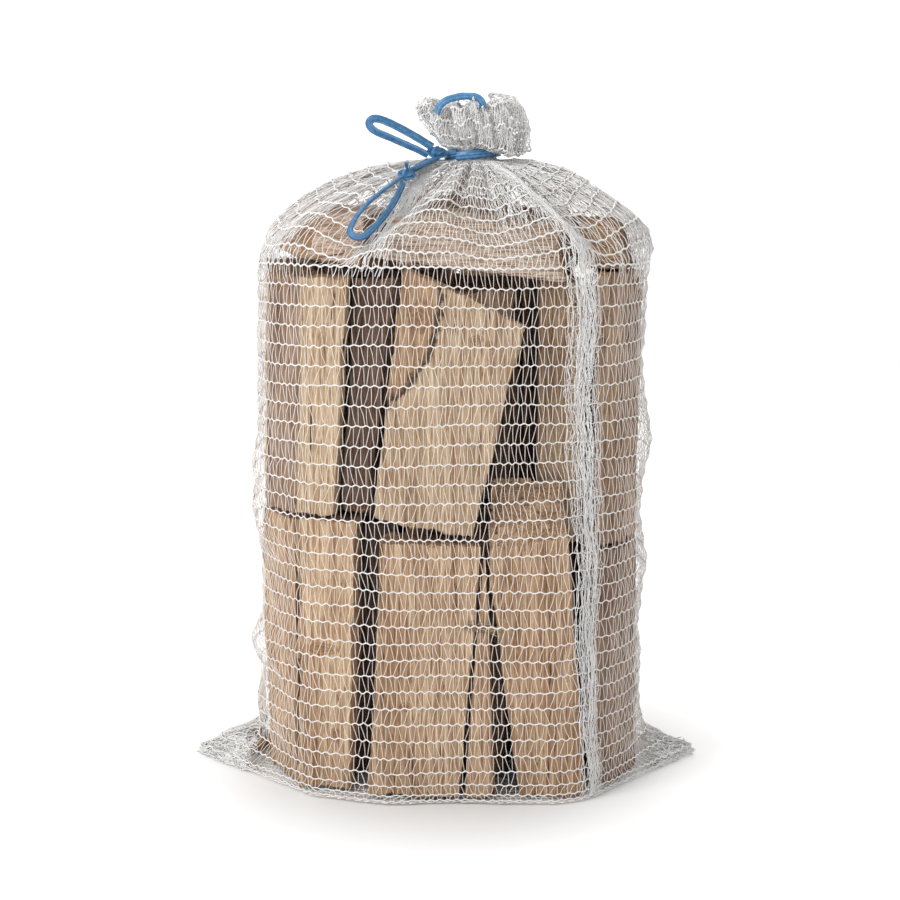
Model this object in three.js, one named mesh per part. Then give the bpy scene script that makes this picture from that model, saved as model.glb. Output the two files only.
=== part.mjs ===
// Firewood bundle: split logs standing in two tiers in a knitted net sack, tied shut with tape.
// Millimetres, +Z up, origin on the floor under the middle of the sack.
import * as THREE from "three";

// Driving dimensions
const stackX = 11;            // the stack stands a little right of the middle between the ears
const netWall = 2;            // thickness of the net as a solid skin
const baseEdgeShare = 1.25;   // how much further in the base's inner edge moves
const netClearance = 4.2;     // from the logs to the outside of the net
const sectionReach = 55;      // how far above and below itself a ring of net feels the logs
const angleSteps = 48;        // corners in one ring of the net
const shoulderZ = 535;        // where the wall starts to turn in towards the neck
const shoulderTopZ = 640;
const shoulderSteps = 7;      // rings from the wall to the neck
const neckX = 28;
const neckZ = 647;            // height of the tie
const neckRadius = 26;
const sideFullness = 0.48;    // how much fuller the shoulder is at the sides than in front
const ruffle = [              // radius and height above the tie of each ring of the ruffle
  [26, 5], [33, 18], [44, 32], [51, 49], [50, 59],
];
const earTipX = 269;          // each bottom corner of the flat sack, from the middle
const earTipZ = 11;
const earRootX = 200;         // where the ears run out into the wall
const earRootZ = 62;
const tapeRadius = 2.6;       // the tape as a plain round cord
const tapeSides = 8;
const wrapGap = 0.6;          // between the neck and the tape round it
const wrapThickness = 3;
const wrapHeight = 7;
const wrapSteps = 32;         // steps round the wrap

// Materials
const splitWood = { color: 0xd9bd95, roughness: 0.8, metalness: 0 };
const barkWood = { color: 0x6b5548, roughness: 0.95, metalness: 0 };
const topWood = { color: 0xc7a68c, roughness: 0.85, metalness: 0 };
const whiteNet = { color: 0xe8e8e6, roughness: 0.6, metalness: 0 };
const blueTape = { color: 0x3f7db0, roughness: 0.4, metalness: 0 };

const sack = new THREE.Group();

function addMesh(name, geometry, finish) {
  const mesh = new THREE.Mesh(geometry, new THREE.MeshStandardMaterial(finish));
  mesh.name = name;
  sack.add(mesh);
  return mesh;
}

// ---- Logs -------------------------------------------------------------------------------
// Each log is a prism from its foot outline to its head outline, both in plan from the stack's
// middle. z gives the height of the foot and the head at the outline's first point, and slopes
// tilt the sawn ends, in millimetres up for each millimetre along x and y.
const lowerLogs = {
  lower_log_left_side: {
    foot: [[-163, -110], [-150, -66], [-147, -8], [-194, 26], [-202, -34]], z: [3, 280],
  },
  lower_log_front_left: {
    foot: [[-161, -122], [-108, -136], [-102, -76], [-128, -58], [-143, -70]],
    head: [[-161, -121], [-101, -137], [-97, -72], [-128, -58], [-143, -70]], z: [3, 285],
    headSlope: [-0.05, 0],
  },
  lower_log_front_middle: {
    foot: [[-90, -157], [5, -160], [4, -104], [-22, -84], [-82, -94]],
    head: [[-77, -157], [25, -160], [22, -104], [-20, -84], [-72, -94]], z: [3, 266],
    headSlope: [-0.03, 0],
  },
  lower_log_front_right: {
    foot: [[62, -158], [130, -150], [126, -98], [66, -96]],
    head: [[30, -158], [112, -148], [107, -103], [35, -99]], z: [3, 257],
    headSlope: [0, 1.16],
  },
  lower_log_right_side: {
    foot: [[139, -124], [170, -98], [190, -44], [188, 4], [152, -2], [132, -60]], z: [3, 250],
  },
  lower_log_middle_left: {
    foot: [[-139, -52], [-98, -62], [-62, -70], [-58, 10], [-100, 36], [-139, 10]], z: [3, 268],
  },
  lower_log_middle: {
    foot: [[-52, -72], [-18, -74], [22, -92], [52, -84], [52, -20], [20, 8], [-50, 6]], z: [3, 264],
  },
  lower_log_middle_right: {
    foot: [[62, -84], [118, -86], [123, -56], [143, 8], [100, 43], [61, 8]], z: [3, 247],
  },
  lower_log_back_1: {
    foot: [[-198, 38], [-146, 20], [-108, 48], [-118, 112], [-150, 122], [-178, 104]], z: [3, 266],
  },
  lower_log_back_2: {
    foot: [[-98, 50], [-56, 22], [-30, 60], [-36, 150], [-62, 156], [-90, 148], [-109, 116]],
    z: [3, 262],
  },
  lower_log_back_3: {
    foot: [[-42, 18], [18, 20], [47, 12], [62, 70], [50, 156], [10, 160], [-26, 156], [-20, 60]],
    z: [3, 270],
  },
  lower_log_back_4: {
    foot: [[63, 24], [98, 57], [131, 42], [140, 116], [108, 140], [66, 152], [76, 70]], z: [3, 256],
  },
  lower_log_back_5: {
    foot: [[150, 12], [187, 16], [182, 60], [152, 104], [142, 42]], z: [3, 262],
  },
};
const upperLogs = {
  upper_log_front_left: {
    foot: [[-122, -140], [-119, -72], [-152, -4], [-201, -14], [-196, -78], [-163, -124]],
    head: [[-106, -140], [-105, -72], [-146, -4], [-198, -14], [-190, -80], [-154, -126]],
    z: [288, 527], headSlope: [0.02, 0],
  },
  upper_bark_strip: {
    foot: [[-117, -92], [-116, -108], [-90, -108], [-84, -92], [-86, -62], [-115, -62]],
    head: [[-102, -92], [-101, -108], [-62, -108], [-52, -94], [-54, -62], [-101, -62]], z: [289, 522],
  },
  upper_log_front_middle: {
    foot: [[-84, -160], [18, -158], [10, -112], [-40, -112], [-80, -118]],
    head: [[-50, -159], [65, -153], [58, -102], [4, -110], [-46, -118]], z: [289, 537],
    footSlope: [-0.196, 0], headSlope: [-0.5, 0],
  },
  upper_log_front_right: {
    foot: [[82, -86], [104, -92], [127, -90], [134, -34], [88, -30]],
    head: [[83, -88], [106, -98], [131, -94], [134, -36], [88, -30]], z: [252, 520],
  },
  upper_log_right_side: {
    foot: [[140, -118], [170, -96], [188, -44], [185, -4], [150, -10], [142, -60]],
    head: [[138, -118], [172, -96], [192, -44], [188, -4], [150, -10], [140, -60]], z: [253, 528],
  },
  upper_log_middle_left: {
    foot: [[-112, -54], [-60, -56], [-52, 10], [-84, 38], [-132, 14], [-137, 2]], z: [272, 534],
    headSlope: [-0.12, 0],
  },
  upper_log_middle: {
    foot: [[-47, -92], [-10, -96], [6, -92], [14, -74], [14, -8], [-8, 12], [-44, 8]],
    head: [[-44, -92], [-10, -96], [48, -90], [60, -74], [60, -8], [20, 12], [-44, 8]],
    z: [275, 511],
  },
  upper_log_middle_right: {
    foot: [[80, -20], [132, -24], [145, 4], [128, 46], [84, 38], [76, 6]], z: [260, 518],
  },
  upper_log_back_1: {
    foot: [[-201, 0], [-152, 10], [-100, 50], [-114, 120], [-148, 122], [-172, 106], [-196, 48]],
    z: [284, 538], headSlope: [-0.07, 0],
  },
  upper_log_back_2: {
    foot: [[-88, 56], [-46, 20], [-14, 24], [0, 90], [-10, 156], [-44, 159], [-76, 150], [-102, 118]],
    z: [274, 528],
  },
  upper_log_back_3: {
    foot: [[-1, 28], [24, 27], [66, 7], [74, 46], [60, 150], [34, 158], [4, 158], [12, 90]],
    z: [276, 520],
  },
  upper_log_back_4: {
    foot: [[84, 54], [126, 58], [132, 126], [104, 140], [74, 146]], z: [262, 526],
  },
  upper_log_back_5: {
    foot: [[139, 54], [157, 10], [187, 12], [178, 70], [146, 108]], z: [268, 518],
  },
};
const topLogs = {
  top_log_left: {
    foot: [
      [-95, -128], [-150, -114], [-186, -44], [-182, 60], [-112, 94], [-62, 60], [-61, -46],
    ],
    head: [
      [-90, -102], [-136, -88], [-164, -30], [-156, 40], [-110, 66], [-66, 48], [-65, -42],
    ],
    z: [533, 586], footSlope: [-0.17, 0.02], headSlope: [0, 0.04],
  },
  top_log_middle: {
    foot: [[-88, -133], [107, -122], [111, -68], [-55, -58]],
    head: [[-62, -118], [101, -104], [105, -74], [-52, -62]], z: [544, 584],
    footSlope: [-0.12, 0], headSlope: [-0.06, 0.2],
  },
  top_log_right: {
    foot: [[56, -62], [121, -62], [121, 96], [54, 100]],
    head: [[58, -54], [116, -54], [108, 56], [60, 60]], z: [532, 596],
    headSlope: [-0.1, 0],
  },
  top_log_back: {
    foot: [[-54, -50], [51, -52], [50, 40], [-56, 44]],
    head: [[-52, -42], [54, -44], [50, 26], [-50, 28]], z: [538, 602],
    headSlope: [0.01, 0],
  },
  top_log_right_side: {
    foot: [[126, -92], [172, -84], [191, -14], [184, 50], [126, 94]],
    head: [[122, -74], [162, -64], [175, -10], [166, 36], [122, 66]], z: [531, 581],
  },
};
const smallWood = {
  splinter: {
    foot: [[8, -159], [40, -157], [36, -126], [8, -124]],
    head: [[27, -159], [28.6, -159], [28.6, -146], [27, -145]], z: [3, 254],
  },
  ear_chip: {
    foot: [[-229, -8], [-214, -14], [-196, 36], [-212, 38]],
    head: [[-225, -2], [-214, -6], [-202, 30], [-211, 32]], z: [2.6, 12],
  },
};

function endPoint(point, start, height, slope) {
  const [x, y] = point;
  return new THREE.Vector3(x, y, height + slope[0] * (x - start[0]) + slope[1] * (y - start[1]));
}

function cornerEnds({ foot, head = foot, z, footSlope = [0, 0], headSlope = [0, 0] }) {
  return foot.map((point, i) => ({
    foot: endPoint(point, foot[0], z[0], footSlope),
    head: endPoint(head[i], head[0], z[1], headSlope),
  }));
}

// An upright prism one unit deep, with each of its corners then moved to the log's own.
const samePlace = 0.01;
function splitLog(log) {
  const ends = cornerEnds(log);
  const outline = new THREE.Shape(ends.map(({ foot }) => new THREE.Vector2(foot.x, foot.y)));
  const geometry = new THREE.ExtrudeGeometry(outline, { depth: 1, bevelEnabled: false });
  const place = geometry.getAttribute("position");
  for (let i = 0; i < place.count; i += 1) {
    const corner = ends.find(({ foot }) => (
      Math.hypot(place.getX(i) - foot.x, place.getY(i) - foot.y) < samePlace));
    const point = place.getZ(i) > 0.5 ? corner.head : corner.foot;
    place.setXYZ(i, point.x + stackX, point.y, point.z);
  }
  geometry.computeVertexNormals();
  return geometry;
}

function addLogs(logs, finish) {
  for (const [name, log] of Object.entries(logs)) {
    addMesh(name, splitLog(log), name.includes("bark") ? barkWood : finish);
  }
}

addLogs(lowerLogs, splitWood);
addLogs(upperLogs, splitWood);
addLogs(topLogs, topWood);
addLogs(smallWood, splitWood);

// ---- Net sack ---------------------------------------------------------------------------
// The sack is one skin: an outside surface of rings from the base to the ruffle's rim, and the
// same rings moved inwards. The neck is an open channel, so the inside isn't a sealed hollow.
const standingLogs = [...Object.values(lowerLogs), ...Object.values(upperLogs)];

// Plan corners of one log at a height, by sliding each from its foot to its head.
function logSection(log, height) {
  return cornerEnds(log).map(({ foot, head }) => {
    const t = THREE.MathUtils.clamp((height - foot.z) / (head.z - foot.z), 0, 1);
    const corner = foot.clone().lerp(head, t);
    return new THREE.Vector2(corner.x, corner.y);
  });
}

function convexHull(points) {
  const sorted = [...points].sort((a, b) => a.x - b.x || a.y - b.y);
  const halfHull = (list) => {
    const chain = [];
    for (const p of list) {
      while (chain.length > 1) {
        const [a, b] = chain.slice(-2);
        if ((b.x - a.x) * (p.y - a.y) - (b.y - a.y) * (p.x - a.x) > 0) break;
        chain.pop();
      }
      chain.push(p);
    }
    return chain.slice(0, -1);
  };
  return [...halfHull(sorted), ...halfHull(sorted.reverse())];
}

// Distance from the stack's middle to the hull's edge, at one angle.
function hullRadius(hull, angle) {
  const ray = new THREE.Vector2(Math.cos(angle), Math.sin(angle));
  let radius = 0;
  hull.forEach((a, i) => {
    const edge = hull[(i + 1) % hull.length].clone().sub(a);
    const cross = ray.x * edge.y - ray.y * edge.x;
    if (Math.abs(cross) < 1e-9) return;
    const along = (a.x * edge.y - a.y * edge.x) / cross;
    const part = (a.x * ray.y - a.y * ray.x) / cross;
    if (along > 0 && part >= -1e-6 && part <= 1 + 1e-6) radius = Math.max(radius, along);
  });
  return radius;
}

// The ears are the flat sack's bottom corners: the tip draws in as the ring rises.
function earReach(height) {
  const t = THREE.MathUtils.clamp((height - earTipZ) / (earRootZ - earTipZ), 0, 1);
  return THREE.MathUtils.lerp(earTipX, earRootX, Math.sqrt(t));
}

// The net passes outside every log corner, so each direction takes the widest place near it.
function wallRing(height) {
  const points = standingLogs
    .filter(({ z }) => height > z[0] - sectionReach && height < z[1] + sectionReach)
    .flatMap((log) => logSection(log, height));
  const hull = convexHull(points);
  const step = (2 * Math.PI) / angleSteps;
  const nearby = [-1, -0.5, 0, 0.5, 1];    // in steps of the ring, to either side
  const reach = earReach(height) - netClearance;
  const ears = [new THREE.Vector2(reach - stackX, 0), new THREE.Vector2(-reach - stackX, 0)];
  const earHull = height < earRootZ ? convexHull([...points, ...ears]) : hull;
  return Array.from({ length: angleSteps }, (_, i) => {
    const angle = i * step;
    const widest = Math.max(...nearby.map((part) => hullRadius(hull, angle + part * step)));
    const radius = Math.max(widest, hullRadius(earHull, angle)) + netClearance;
    return new THREE.Vector3(
      stackX + radius * Math.cos(angle), radius * Math.sin(angle), height);
  });
}

function roundRing(radius, height) {
  return Array.from({ length: angleSteps }, (_, i) => {
    const angle = (i / angleSteps) * 2 * Math.PI;
    return new THREE.Vector3(
      neckX + radius * Math.cos(angle), radius * Math.sin(angle), height);
  });
}

// From the wall's last ring in to the neck: a round shoulder at the sides, flatter in front.
function shoulderRing(wall, turn) {
  const neck = roundRing(neckRadius, shoulderTopZ);
  const inwards = 1 - Math.cos(turn);
  return wall.map((point, i) => {
    const ring = point.clone().lerp(neck[i], inwards);
    const side = Math.cos((i / angleSteps) * 2 * Math.PI) ** 4;
    const fullness = 1 - sideFullness + sideFullness * side;
    const rise = THREE.MathUtils.lerp(inwards, Math.sin(turn), fullness);
    ring.z = shoulderZ + (shoulderTopZ - shoulderZ) * rise;
    return ring;
  });
}

function netRings() {
  const base = wallRing(0);
  const middle = new THREE.Vector3(stackX, 0, 0);
  const wallHeights = [5, earTipZ, 20, 34, earRootZ, 110, 170, 225, 262, 300, 345, 390, 435, 485];
  const shoulder = wallRing(shoulderZ);
  return [
    base.map((point) => point.clone().lerp(middle, 0.5)),
    base,
    ...wallHeights.map(wallRing),
    shoulder,
    ...Array.from({ length: shoulderSteps }, (_, i) => (
      shoulderRing(shoulder, ((i + 1) / shoulderSteps) * (Math.PI / 2)))),
    ...ruffle.map(([radius, rise]) => roundRing(radius, neckZ + rise)),
  ];
}

// Each ring moved inwards by the net's wall, square to the surface, with the rim kept level.
// The base's edge slopes both ways, so its inner ring moves a little further.
function innerRings(rings) {
  const last = rings.length - 1;
  return rings.map((ring, r) => ring.map((point, i) => {
    const below = rings[Math.max(r - 1, 0)][i];
    const above = rings[Math.min(r + 1, last)][i];
    const before = ring[(i + angleSteps - 1) % angleSteps];
    const after = ring[(i + 1) % angleSteps];
    const outwards = after.clone().sub(before).cross(above.clone().sub(below)).normalize();
    const depth = netWall * (r === 1 ? baseEdgeShare : 1);
    const moved = point.clone().addScaledVector(outwards, -depth);
    if (r === last) moved.z = point.z;
    if (r <= 1) moved.z = netWall;
    return moved;
  }));
}

function ringSkin(outer, inner) {
  const layers = [...outer, ...inner.toReversed()];
  const base = new THREE.Vector3(stackX, 0, 0);
  const points = [base, ...layers.flat(), base.clone().setZ(netWall)];
  const faces = [];
  const at = (layer, i) => 1 + layer * angleSteps + (i % angleSteps);
  const lastLayer = layers.length - 1;
  for (let i = 0; i < angleSteps; i += 1) {
    faces.push(0, at(0, i + 1), at(0, i));
    faces.push(points.length - 1, at(lastLayer, i), at(lastLayer, i + 1));
    for (let layer = 0; layer < lastLayer; layer += 1) {
      faces.push(at(layer, i), at(layer, i + 1), at(layer + 1, i + 1));
      faces.push(at(layer, i), at(layer + 1, i + 1), at(layer + 1, i));
    }
  }
  const geometry = new THREE.BufferGeometry().setFromPoints(points);
  geometry.setIndex(faces);
  geometry.computeVertexNormals();
  return geometry;
}

const outerRings = netRings();
addMesh("net_bag", ringSkin(outerRings, innerRings(outerRings)), whiteNet);

// ---- Blue tape --------------------------------------------------------------------------
function tapeTube(points, steps) {
  const route = new THREE.CatmullRomCurve3(points.map((p) => new THREE.Vector3(...p)));
  const circle = Array.from({ length: tapeSides }, (_, i) => {
    const angle = (i / tapeSides) * 2 * Math.PI;
    return new THREE.Vector2(tapeRadius * Math.cos(angle), tapeRadius * Math.sin(angle));
  });
  return new THREE.ExtrudeGeometry(new THREE.Shape(circle), {
    steps, extrudePath: route, bevelEnabled: false,
  });
}

// The wrap goes round the neck just under the ruffle.
const wrapInside = neckRadius + wrapGap;
const wrapProfile = [
  [wrapInside, -0.5], [wrapInside + wrapThickness * 0.7, -0.5], [wrapInside + wrapThickness, -0.3],
  [wrapInside + wrapThickness, 0.3], [wrapInside + wrapThickness * 0.7, 0.5], [wrapInside, 0.5],
  [wrapInside, -0.5],
].map(([x, y]) => new THREE.Vector2(x, y * wrapHeight));
const wrap = new THREE.LatheGeometry(wrapProfile, wrapSteps);
wrap.rotateX(Math.PI / 2).translate(neckX, 0, neckZ);
addMesh("tie_wrap", wrap, blueTape);

// A knot is a plain lump: its half sizes and its middle.
function knot(size, place) {
  const lump = new THREE.SphereGeometry(1, 12, 8);
  lump.scale(...size).rotateX(Math.PI / 2).translate(...place);
  return lump;
}

addMesh("tie_knot", knot([7, 5.5, 6], [-8, -20, 647]), blueTape);
addMesh("second_knot", knot([5.5, 5, 5], [-39, -80, 625]), blueTape);

const bowUpper = [
  [-14, -25, 653.5], [-26, -29, 661], [-42, -33, 670], [-58, -36, 678], [-70, -37, 682],
  [-77, -37, 680], [-78, -36, 675], [-72, -35, 669], [-58, -33, 663], [-42, -30, 656],
  [-28, -26, 650], [-18.5, -23, 645],
];
const bowLower = [
  [-45, -86, 622], [-56, -103, 614], [-69, -119, 604], [-81, -133, 592], [-89, -144, 580],
  [-92, -150, 571], [-88, -152, 566], [-80, -151, 566], [-71, -144, 573], [-61, -131, 584],
  [-52, -116, 597], [-46, -100, 609], [-42.5, -88, 617.5],
];
const strandNear = [[-10, -28, 641], [-17, -40, 638], [-25, -56, 634], [-34, -73, 630]];
const strandFar = [[-16, -24, 641], [-23, -39, 636], [-32, -56, 630.5], [-39, -73.5, 626]];
const hemTape = [[-8, -25, 702], [2, -32, 704], [16, -38, 702], [30, -40, 703], [42, -38, 701]];

// Two steps of tube for each stretch of a route, and a few more where it is short.
const routes = {
  bow_upper: [bowUpper, 24],
  bow_lower: [bowLower, 26],
  strand_near: [strandNear, 8],
  strand_far: [strandFar, 8],
  hem_tape: [hemTape, 10],
};
for (const [name, [route, steps]] of Object.entries(routes)) {
  addMesh(name, tapeTube(route, steps), blueTape);
}

export default sack;
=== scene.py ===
# Firewood bundle: split logs standing in two tiers in a knitted net sack, tied with blue tape.
# Metres, +Z up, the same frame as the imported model.
import math

import bpy
import numpy as np
from mathutils import Matrix, Vector
from mathutils.bvhtree import BVHTree


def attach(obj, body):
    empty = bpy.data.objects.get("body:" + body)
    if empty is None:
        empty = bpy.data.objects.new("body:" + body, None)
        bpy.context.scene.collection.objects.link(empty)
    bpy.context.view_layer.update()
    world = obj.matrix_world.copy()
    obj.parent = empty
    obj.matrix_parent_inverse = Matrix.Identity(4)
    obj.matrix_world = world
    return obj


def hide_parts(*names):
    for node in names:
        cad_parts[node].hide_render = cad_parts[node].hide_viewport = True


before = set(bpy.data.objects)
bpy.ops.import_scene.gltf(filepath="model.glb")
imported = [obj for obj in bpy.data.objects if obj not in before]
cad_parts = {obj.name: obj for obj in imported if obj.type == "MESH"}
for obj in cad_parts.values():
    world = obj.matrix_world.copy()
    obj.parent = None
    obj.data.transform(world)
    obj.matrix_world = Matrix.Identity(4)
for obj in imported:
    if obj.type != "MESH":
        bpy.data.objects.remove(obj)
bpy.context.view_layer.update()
MM = 0.001

# ---- Camera, floor and light ----
# How far from the middle the floor starts to glow, and where its glow is full.
GLOW_STARTS = 0.17
GLOW_FULL = 0.32


def add_camera():
    bpy.ops.object.camera_add(
        location=(0.0045, -1.940, 0.620), rotation=(math.radians(81.64), 0, 0))
    camera = bpy.context.object
    camera.name = "camera"
    camera.data.lens = 73.5
    camera.data.sensor_width = 36
    camera.data.clip_end = 50
    bpy.context.scene.camera = camera


def glowing_white(name, glow, dim_middle=False):
    """Matt white that glows a little; a dim middle fades the glow out towards the sack."""
    finish = bpy.data.materials.new(name)
    finish.use_nodes = True
    nodes, links = finish.node_tree.nodes, finish.node_tree.links
    shader = nodes["Principled BSDF"]
    shader.inputs["Base Color"].default_value = (0.8, 0.8, 0.8, 1)
    shader.inputs["Roughness"].default_value = 1.0
    shader.inputs["Specular IOR Level"].default_value = 0.0
    shader.inputs["Emission Color"].default_value = (1, 1, 1, 1)
    shader.inputs["Emission Strength"].default_value = glow
    if dim_middle:
        reach = nodes.new("ShaderNodeVectorMath")
        reach.operation = "LENGTH"
        links.new(nodes.new("ShaderNodeTexCoord").outputs["Object"], reach.inputs[0])
        fade = nodes.new("ShaderNodeMapRange")
        fade.inputs["From Min"].default_value = GLOW_STARTS
        fade.inputs["From Max"].default_value = GLOW_FULL
        fade.inputs["To Max"].default_value = glow
        links.new(reach.outputs["Value"], fade.inputs["Value"])
        links.new(fade.outputs["Result"], shader.inputs["Emission Strength"])
    return finish


def add_floor():
    """A wide pale floor, and a pale backdrop far behind it."""
    bpy.ops.mesh.primitive_plane_add(size=30, location=(0, 0, -0.0004))
    floor = bpy.context.object
    floor.name = "floor"
    floor.data.materials.append(glowing_white("pale_floor", glow=0.34, dim_middle=True))
    bpy.ops.mesh.primitive_plane_add(
        size=24, location=(0, 9, 6), rotation=(math.radians(90), 0, 0))
    backdrop = bpy.context.object
    backdrop.name = "backdrop"
    backdrop.data.materials.append(glowing_white("pale_backdrop", glow=0.62))


# Each soft light: its place, its size and its power. All three look at the middle of the sack.
LIGHTS = {
    "soft_key": ((-2.2, -1.9, 2.0), 1.3, 58),
    "soft_fill": ((1.6, -2.6, 1.2), 2.0, 4),
    "soft_back": ((0.6, 2.4, 2.4), 2.2, 26),
}
LIGHT_AIM = Vector((0, 0, 0.3))


def add_area_light(name, place, size, power):
    bpy.ops.object.light_add(type="AREA", location=place)
    light = bpy.context.object
    light.name = name
    light.data.energy = power
    light.data.size = size
    direction = LIGHT_AIM - Vector(place)
    light.rotation_euler = direction.to_track_quat("-Z", "Y").to_euler()


def add_lights():
    for name, settings in LIGHTS.items():
        add_area_light(name, *settings)
    world = bpy.data.worlds.new("studio_world")
    world.use_nodes = True
    background = world.node_tree.nodes["Background"]
    background.inputs["Color"].default_value = (1, 1, 1, 1)
    background.inputs["Strength"].default_value = 0.62
    bpy.context.scene.world = world
    bpy.context.scene.view_settings.view_transform = "Standard"


add_camera()
add_floor()
add_lights()

# ---- Materials ----


class Finish:
    """A material with short calls for its nodes."""

    def __init__(self, name, roughness):
        self.material = bpy.data.materials.new(name)
        self.material.use_nodes = True
        self.tree = self.material.node_tree
        self.shader = self.tree.nodes["Principled BSDF"]
        self.shader.inputs["Roughness"].default_value = roughness
        self.place = self.node("ShaderNodeTexCoord").outputs["Object"]

    def node(self, kind, **settings):
        made = self.tree.nodes.new(kind)
        for key, value in settings.items():
            setattr(made, key, value)
        return made

    def link(self, source, target):
        self.tree.links.new(source, target)

    def stretched(self, scale, source=None):
        mapping = self.node("ShaderNodeMapping")
        mapping.inputs["Scale"].default_value = scale
        self.link(source or self.place, mapping.inputs["Vector"])
        return mapping.outputs["Vector"]

    def noise(self, where, scale, detail=4.0, rough=0.55, distortion=0.0):
        made = self.node("ShaderNodeTexNoise")
        made.inputs["Scale"].default_value = scale
        made.inputs["Detail"].default_value = detail
        made.inputs["Roughness"].default_value = rough
        made.inputs["Distortion"].default_value = distortion
        self.link(where, made.inputs["Vector"])
        return made.outputs["Fac"]

    def ramp(self, value, stops):
        made = self.node("ShaderNodeValToRGB")
        band = made.color_ramp
        while len(band.elements) < len(stops):
            band.elements.new(0.5)
        for element, (position, color) in zip(band.elements, stops):
            element.position = position
            element.color = (*color, 1)
        self.link(value, made.inputs["Fac"])
        return made.outputs["Color"]

    def mix(self, mode, amount, base, over):
        made = self.node("ShaderNodeMix", data_type="RGBA", blend_type=mode)
        if isinstance(amount, float):
            made.inputs["Factor"].default_value = amount
        else:
            self.link(amount, made.inputs["Factor"])
        self.link(base, made.inputs["A"])
        self.link(over, made.inputs["B"])
        return made.outputs["Result"]

    def darken(self, base, amount, value, stops):
        """Multiplies a colour by a ramp of the value."""
        return self.mix("MULTIPLY", amount, base, self.ramp(value, stops))

    def bump(self, height, strength, distance, under=None):
        made = self.node("ShaderNodeBump")
        made.inputs["Strength"].default_value = strength
        made.inputs["Distance"].default_value = distance
        self.link(height, made.inputs["Height"])
        if under:
            self.link(under, made.inputs["Normal"])
        return made.outputs["Normal"]

    def finish(self, color, normal=None):
        self.link(color, self.shader.inputs["Base Color"])
        if normal:
            self.link(normal, self.shader.inputs["Normal"])
        return self.material


WHITE = (1, 1, 1)
SPLIT_DARK = (0.13, 0.085, 0.06)
# Saw scratches run across the log.
SAW_SCALES = {"X": (0.4, 1, 4), "Y": (1, 0.4, 4), "Z": (1, 5, 0.4)}


def along_grain(grain, share):
    """A scale of share along the grain and 1 across it."""
    return tuple(share if axis == grain else 1 for axis in "XYZ")


def split_face_finish(name, grain, pale, mid, dark, knots=(), split=None):
    """The torn face of split wood: long fibres, dark torn strokes, growth bands and stains."""
    wood = Finish(name, 0.8)
    along = wood.stretched(along_grain(grain, 0.07))
    thin = wood.stretched(along_grain(grain, 0.022))
    band = wood.noise(along, 46, detail=5, rough=0.62, distortion=0.9)
    fibre = wood.noise(thin, 420, detail=6, rough=0.7)
    stroke = wood.noise(thin, 1000, detail=5, rough=0.65, distortion=0.3)
    crack = wood.noise(along, 95, detail=3, rough=0.55, distortion=1.4)
    stain = wood.noise(wood.stretched(along_grain(grain, 0.295)), 13, detail=3)
    color = wood.ramp(band, [(0.34, mid), (0.46, pale), (0.55, pale), (0.66, mid)])
    color = wood.darken(color, 0.85, fibre, [(0.38, dark), (0.48, (0.80, 0.74, 0.67)), (0.56, WHITE)])
    color = wood.darken(color, 0.85, stroke, [
        (0.37, (0.38, 0.27, 0.19)), (0.46, (0.84, 0.79, 0.72)), (0.55, WHITE)])
    color = wood.darken(color, 0.95, crack, [
        (0.30, (0.10, 0.065, 0.045)), (0.325, (0.8, 0.72, 0.64)), (0.36, WHITE)])
    color = wood.darken(color, 0.8, stain, [(0.36, (0.60, 0.50, 0.41)), (0.52, WHITE)])
    for knot in knots:
        color = wood.darken(color, 0.9, reach_from(wood, *knot, 0.55), KNOT_RINGS)
    if split:
        color = wood.darken(color, 0.95, reach_from(wood, *split, 0.16), CURVED_SPLIT)
    normal = wood.bump(band, 0.6, 0.006)
    normal = wood.bump(crack, 0.5, 0.004, normal)
    normal = wood.bump(fibre, 0.9, 0.003, normal)
    normal = wood.bump(stroke, 0.6, 0.0015, normal)
    return wood.finish(color, normal)


def reach_from(wood, centre, size, wobble):
    """How far a point is from a centre, in sizes, made uneven by noise."""
    mapping = wood.node("ShaderNodeMapping", vector_type="TEXTURE")
    mapping.inputs["Location"].default_value = centre
    mapping.inputs["Scale"].default_value = size
    wood.link(wood.place, mapping.inputs["Vector"])
    reach = wood.node("ShaderNodeVectorMath", operation="LENGTH")
    wood.link(mapping.outputs["Vector"], reach.inputs[0])
    uneven = wood.node("ShaderNodeMath", operation="MULTIPLY_ADD")
    wood.link(wood.noise(wood.place, 130, detail=4), uneven.inputs[0])
    uneven.inputs[1].default_value = wobble
    wood.link(reach.outputs["Value"], uneven.inputs[2])
    return uneven.outputs["Value"]


# A dark knot: rings round a centre.
KNOT_RINGS = [
    (0.30, (0.34, 0.25, 0.19)), (0.42, (0.80, 0.70, 0.60)), (0.50, (0.45, 0.34, 0.26)),
    (0.60, (0.92, 0.86, 0.80)), (0.70, (0.60, 0.48, 0.38)), (0.84, WHITE)]
# A long split that curves down one face, with darker wood inside the curve.
CURVED_SPLIT = [
    (0.55, (0.80, 0.68, 0.57)), (0.74, (0.95, 0.90, 0.85)), (0.90, (0.78, 0.66, 0.55)),
    (0.945, SPLIT_DARK), (0.965, SPLIT_DARK), (0.99, WHITE)]


def sawn_end_finish(name, grain, pale, dark):
    """A sawn end: fuzzy, with fine saw scratches across it and darker speckles."""
    wood = Finish(name, 0.9)
    scratch = wood.noise(wood.stretched(SAW_SCALES[grain]), 160, detail=5, rough=0.7)
    speckle = wood.noise(wood.place, 900, detail=3, rough=0.7)
    color = wood.ramp(scratch, [(0.36, dark), (0.58, pale)])
    color = wood.darken(color, 0.75, speckle, [(0.38, (0.42, 0.33, 0.26)), (0.52, WHITE)])
    normal = wood.bump(scratch, 0.8, 0.0025)
    normal = wood.bump(speckle, 0.4, 0.0008, normal)
    return wood.finish(color, normal)


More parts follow.
